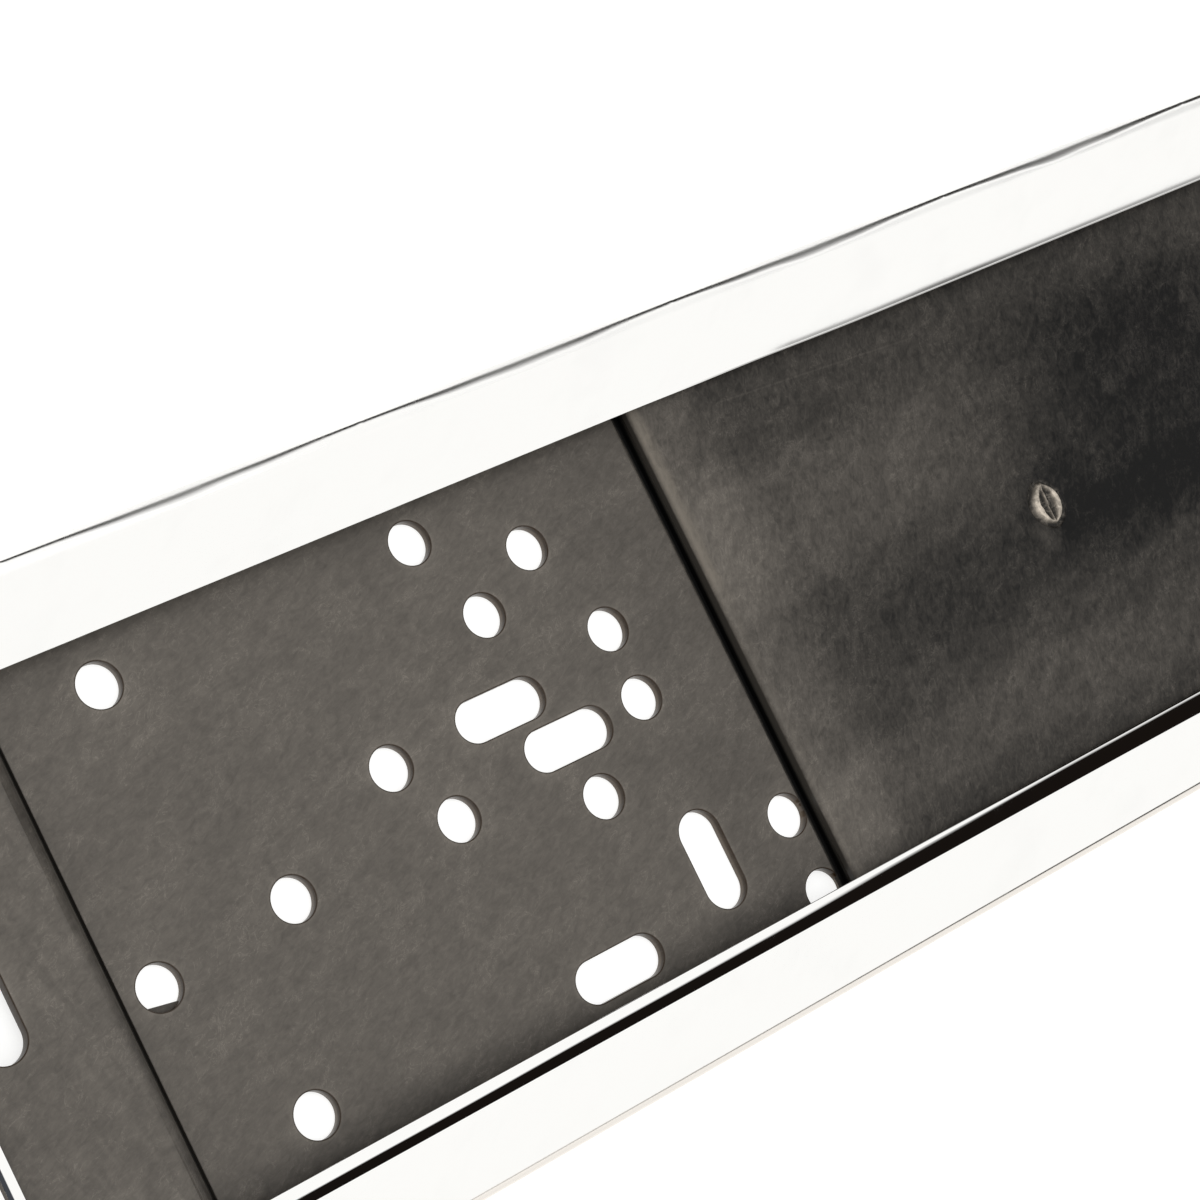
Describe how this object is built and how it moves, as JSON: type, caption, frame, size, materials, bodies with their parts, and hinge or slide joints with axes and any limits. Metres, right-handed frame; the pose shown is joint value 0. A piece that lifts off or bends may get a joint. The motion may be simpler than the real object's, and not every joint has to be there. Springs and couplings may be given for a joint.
{
  "type": "number plate holder",
  "caption": "Long flat car number plate holder: a black moulded backing plate with screw holes and slots, and a polished metal surround clipped over its rim.",
  "frame": {"origin": "middle of the back, on the plane that the holder lies on", "axes": "+X along the holder, +Y towards its upper edge, +Z out of its face"},
  "size_m": [0.5394, 0.1314, 0.0097],
  "materials": {
    "polished_sheet": "mirror polished",
    "black_moulding": "fine mottled matt, scuffed"
  },
  "bodies": {
    "root": {"surround": "polished_sheet", "backing_plate": "black_moulding"}
  },
  "joints": []
}
